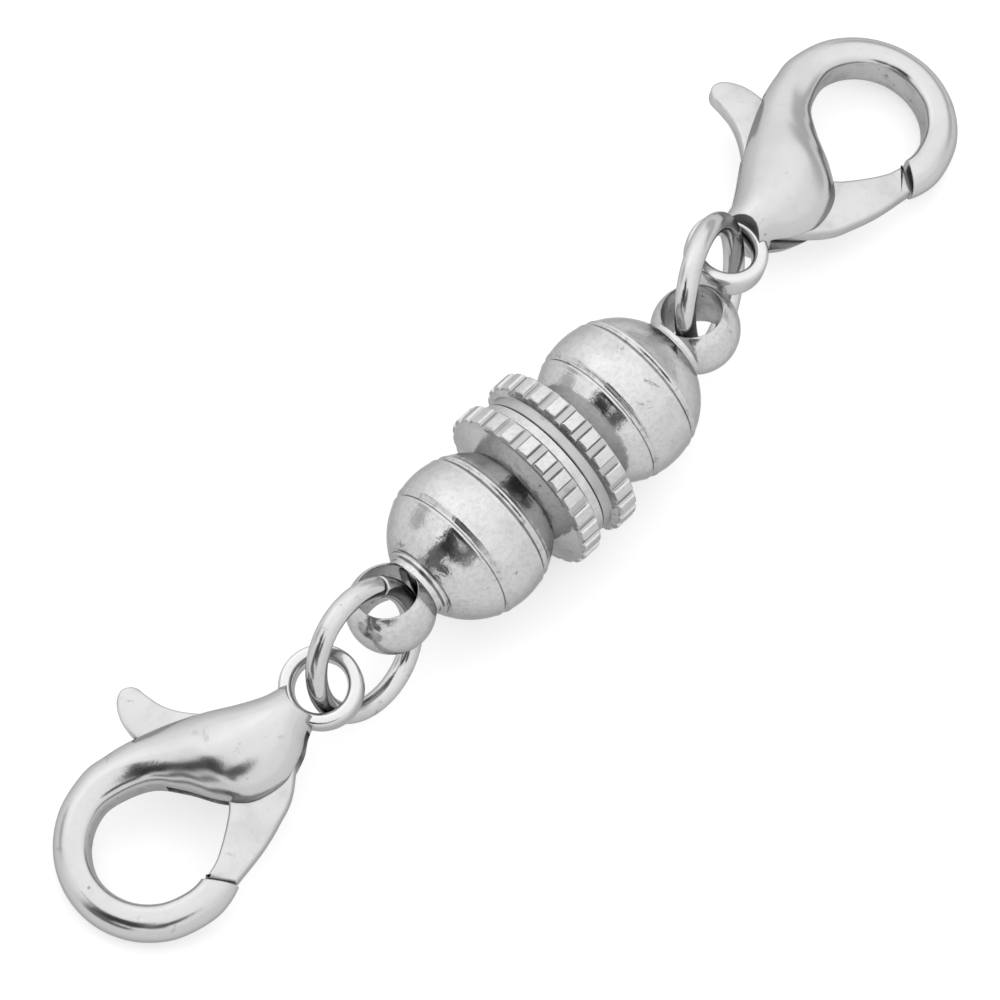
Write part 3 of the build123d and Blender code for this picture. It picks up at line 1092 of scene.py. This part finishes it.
    def roughen(self, shell: Shell) -> None:
        """Give the inner wall of the pear and hook the rough finish.

        Args:
            shell: Rows of the body, still in the claw's plane.
        """
        for number in range(self.rough_row * self.row_steps * self.row_points, len(shell.faces)):
            inside = cos(tau * (number % self.row_points + 0.5) / self.row_points) < 0
            height = sum(abs(shell.points[i].z) for i in shell.faces[number]) / 4
            if inside and height < self.rough_half:
                shell.marks[number] = 1

    def build_body(self, finishes: Finishes) -> None:
        """Build the cheeks with the hook.

        Args:
            finishes: Cast and plated outside, and rough inner wall.
        """
        rows = self.body_rows()
        shell = Shell()
        shell.grid(rows)
        self.roughen(shell)
        shell.fans(rows)
        piece = shell.move(self.place).build("claw_cheeks_" + self.side.letter, finishes, CAST_CREASE)
        carve(piece, self.tools(finishes))
        show(piece, self.side.body, "plating", "claw_body_" + self.side.letter)

    def build_eye(self, finish: Material) -> None:
        """Build the ring at the claw's end.

        Args:
            finish: Its plated finish.
        """
        centre = self.eye_hole_r + self.eye_wall / 2
        rows = []
        for out in circle(1.0, self.eye_steps):
            ring = []
            for b in turns(self.eye_points):
                flat = self.eye_flat if cos(b) > 0 else self.eye_round
                wide = copysign(abs(cos(b)) ** flat, cos(b))
                tall = copysign(abs(sin(b)) ** flat, sin(b))
                up = Vector((0, 0, self.eye_height / 2 * tall))
                ring.append(out * (centre + self.eye_wall / 2 * wide) + up)
            rows.append(ring)
        shell = Shell()
        shell.grid(rows + rows[:1])
        piece = shell.move(self.place).build("claw_eye_" + self.side.letter, [finish])
        show(piece, self.side.body, "plating")

    def lever_outline(self) -> list[Vector]:
        """Draw the plan of the lever.

        Returns:
            Points of the closed outline.
        """
        out, face = self.tip_ways()
        end = self.hook_point(self.tip_angle, self.hook_r) + out * self.gate_gap
        inner, outer = end - face * self.gate_inside, end + face * self.gate_outside
        boss = [polar(self.boss_r, angle, self.pivot) for angle in self.boss_angles]
        points = [inner, *map(self.plan, self.lever_inner), *boss, *map(self.plan, self.lever_arm), outer]
        return [Vector((x, y, 0)) for x, y in curve_through([tuple(p)[:2] for p in points], 8)]

    def build_lever(self, finish: Material) -> None:
        """Build the thumb tab and gate.

        Args:
            finish: Stamped and plated finish.
        """
        outline = self.lever_outline()
        inward = []
        for i in range(len(outline)):
            way = outline[(i + 1) % len(outline)] - outline[i - 1]
            inward.append(Vector((-way.y, way.x, 0)).normalized())
        half, soft = self.lever_thickness / 2, self.lever_edge
        quarter = [pi / 2 * step / 4 for step in range(5)]
        edge = [(1 - sin(a), -half + soft * (1 - cos(a))) for a in quarter]
        edge += [(1 - cos(a), half - soft + soft * sin(a)) for a in quarter]
        rows = []
        for inset, height in edge:
            up = Vector((0, 0, height))
            rows.append([p + n * soft * inset + up for p, n in zip(outline, inward)])
        shell = Shell()
        shell.grid(rows)
        shell.caps((rows[0], rows[-1]))
        piece = shell.move(self.place).build("trigger_lever_" + self.side.letter, [finish], LEVER_CREASE)
        show(piece, "lever_" + self.side.letter, "plating", "claw_lever_" + self.side.letter)


# Studio


@dataclass
class Studio:
    """Pale floor, soft light and the camera at the photograph's angle.

    A patch is an azimuth, an elevation, the angles where it is full and where it ends, and a tone.
    """

    azimuth: float = -45.5
    elevation: float = 64.4
    distance: float = 300.0
    pixels_per_mm: float = 31.4
    position: Point = (-93.8161, -92.0198, 273.1108)
    sensor: float = 36.0
    pixels: float = 1000.0
    floor_size: float = 1500.0
    floor_drop: float = 0.002
    floor_tone: float = 0.50
    floor_glow: float = 0.52
    key_at: Point = (-20.0, 230.0, 260.0)
    key_size: float = 240.0
    key_power: float = 0.03
    skirt: float = 1.28
    wall: float = 1.48
    wall_ramp: Ramp = (-0.02, 0.35)
    roof: float = 1.70
    roof_ramp: Ramp = (0.45, 0.90)
    behind: float = 0.12
    behind_at: Flat = (50.0, 40.0)
    behind_ramp: Ramp = (0.35, 0.90)
    below: float = 1.0
    below_ramp: Ramp = (0.0, 0.02)
    patches: Table = (
        (120, 16, 6, 16, 0.80), (350, 2, 14, 30, 0.88), (20, 2, 14, 30, 0.85),
        (176, 52, 9, 14, 0.04), (178, 38, 10, 15, 0.05), (175, 20, 9, 14, 0.20),
        (174, 4, 8, 14, 0.25), (193, 50, 7, 11, 0.08), (200, 34, 8, 12, 0.05),
        (213, 36, 4, 9, 0.22), (218, 27, 5, 9, 0.22), (226, 43, 8, 14, 0.12),
        (192, 7, 8, 12, 0.18), (159, 43, 3, 6, 2.10),
    )

    def camera(self) -> None:
        """Create the camera and make it the scene's."""
        turn, lift = radians(self.azimuth), radians(self.elevation)
        right = Vector((cos(turn), sin(turn), 0))
        up = Vector((-sin(turn) * sin(lift), cos(turn) * sin(lift), cos(lift)))
        data = bpy.data.cameras.new("camera")
        data.sensor_width = self.sensor
        data.lens = self.sensor * self.distance * self.pixels_per_mm / self.pixels
        data.clip_start, data.clip_end = 0.01, 20.0
        eye = bpy.data.objects.new("camera", data)
        frame_turn = Matrix((right, up, right.cross(up))).transposed().to_4x4()
        eye.matrix_world = Matrix.Translation(Vector(self.position) * MM) @ frame_turn
        bpy.context.scene.collection.objects.link(eye)
        bpy.context.scene.camera = eye

    def floor(self) -> None:
        """Lay the pale floor."""
        made = bpy.data.materials.new("pale_floor")
        graph = Graph(made)
        cloud = graph.noise(40.0, 2.0)
        inputs = {
            "Base Color": graph.mix(cloud, grey(self.floor_tone), grey(self.floor_tone + 0.02)),
            "Roughness": 0.9,
            "Specular IOR Level": 0.1,
            "Emission Color": grey(1.0),
            "Emission Strength": self.floor_glow,
        }
        graph.surface(inputs)
        shell = Shell()
        steps = [self.floor_size * (i / 8 - 1) for i in range(17)]
        shell.grid([[Vector((x, y, -self.floor_drop)) for y in steps] for x in steps], around=False)
        shell.build("floor", [made])

    def key_light(self) -> None:
        """Hang the one soft light, facing the clasp."""
        data = bpy.data.lights.new("key", "AREA")
        data.shape = "SQUARE"
        data.size = self.key_size * MM
        data.energy = self.key_power
        lamp = bpy.data.objects.new("key", data)
        lamp.location = Vector(self.key_at) * MM
        lamp.rotation_euler = Vector(self.key_at).to_track_quat("Z", "Y").to_euler()
        bpy.context.scene.collection.objects.link(lamp)

    def surroundings(self) -> None:
        """White tent, brightest overhead, with dark openings from end A round to the camera."""
        world = bpy.data.worlds.new("tent")
        graph = Graph(world)
        way = graph.node("TexCoord", {}, {}, "Generated")
        height = way.facing(0.0, 90.0)
        level = self.skirt + height.smooth(*self.wall_ramp) * (self.wall - self.skirt)
        level += height.smooth(*self.roof_ramp) * (self.roof - self.wall)
        level += way.facing(*self.behind_at).smooth(*self.behind_ramp) * self.behind
        for azimuth, elevation, inner, outer, tone in self.patches:
            near = way.facing(azimuth, elevation)
            patch = near.smooth(cos(radians(outer)), cos(radians(inner)))
            level = level * (1.0 - patch) + patch * tone
        low = (height * -1.0).smooth(*self.below_ramp)
        level = level * (1.0 - low) + low * self.below
        shade = graph.node("Background", {}, {"Color": grey(1.0), "Strength": level})
        graph.node("OutputWorld", {}, {"Surface": shade})
        bpy.context.scene.world = world

    def build(self) -> None:
        """Set up the whole studio."""
        self.camera()
        self.floor()
        self.surroundings()
        self.key_light()
        view = bpy.context.scene.view_settings
        view.view_transform = "Standard"
        view.look = "None"


# Finishes

TURNED = PlatedFinish(
    "turned_plating", tone=0.48, shade=0.40, roughness=0.12, haze=0.15, lathe=0.6, swell=8.0, grain=0.9,
    stains=0.8, dirt_at=(0.42, 2.52, 4.20, 5.60), mottle=0.22,
)
# Rougher, lathe-marked plating whose darker tone is painted shade in recesses.
SHADED_RECESS = PlatedFinish("recess_plating", tone=0.36, shade=0.30, roughness=0.28, lathe=1.2, lathe_pitch=0.09)
BORED = PlatedFinish(
    "bored_plating", tone=0.40, shade=0.24, roughness=0.28, haze=0.2, swell=6.0, swell_size=0.4,
    grain=1.4, pits=2.0, pit_spacing=0.4, stains=0.8, stain_size=0.35,
)
ROUGH = replace(
    BORED, name="rough_cast_plating", tone=0.44, shade=0.31, roughness=0.30, swell_size=0.35,
    pit_spacing=0.5, stain_size=0.3,
)
CAST = PlatedFinish(
    "cast_plating", tone=0.445, shade=0.40, roughness=0.16, haze=0.06, swell=1.2, swell_size=1.6,
    swell_detail=1.0, stains=0.25, round_edge=0.06, crevice_shade=0.14,
)
# Painted light: a lighter copy of the cast plating for the claws' eyes, with less crevice shade.
LIT_EYE = replace(CAST, name="eye_plating", tone=0.50, shade=0.45, round_edge=0.0, crevice_shade=0.06)
STAMPED = PlatedFinish(
    "stamped_plating", tone=0.45, shade=0.36, roughness=0.28, swell=3.0, swell_size=0.7,
    stains=0.35, stain_size=0.4, round_edge=0.05,
)
WIRE = PlatedFinish(
    "wire_plating", tone=0.46, shade=0.40, roughness=0.13, haze=0.08, swell=1.6, swell_size=0.8, crevice_shade=0.06
)
DISC = PlatedFinish("magnet_plating", tone=0.42, shade=0.36, roughness=0.25)


def main() -> None:
    """Build the clasp from half to claw on each side, then the studio."""
    logging.basicConfig(level=logging.INFO, format="%(message)s")
    for side, knurl_turn, seat, hang, slit_at, lip in (
        (Side.A, 5.7, (165.6, 0.90), (-173.1, -3.1, -155.9), -42.0, TURNED),
        # Half B's lip takes the rougher recess finish; its darker tone is painted shade beside lip A.
        (Side.B, 13.4, (-152.4, 0.985), (26.6, 1.9, -13.8), -60.0, SHADED_RECESS),
    ):
        half = BarrelHalf(side, knurl_turn)
        half.build([finish.material for finish in (TURNED, BORED, SHADED_RECESS, lip)])
        DiscMagnet(side).build(DISC.material)
        JumpRing(half, seat, hang, slit_at).build(WIRE.material)
        claw = TriggerClaw(side)
        claw.build_body([CAST.material, ROUGH.material])
        claw.build_eye(LIT_EYE.material)
        claw.build_lever(STAMPED.material)
        rivet = frame["nodes"]["claw_rivet_" + side.letter]
        rivet.data.materials.clear()
        rivet.data.materials.append(CAST.material)
        LOG.info("%s: finish alone", rivet.name)
    Studio().build()


if __name__ == "__main__":
    main()
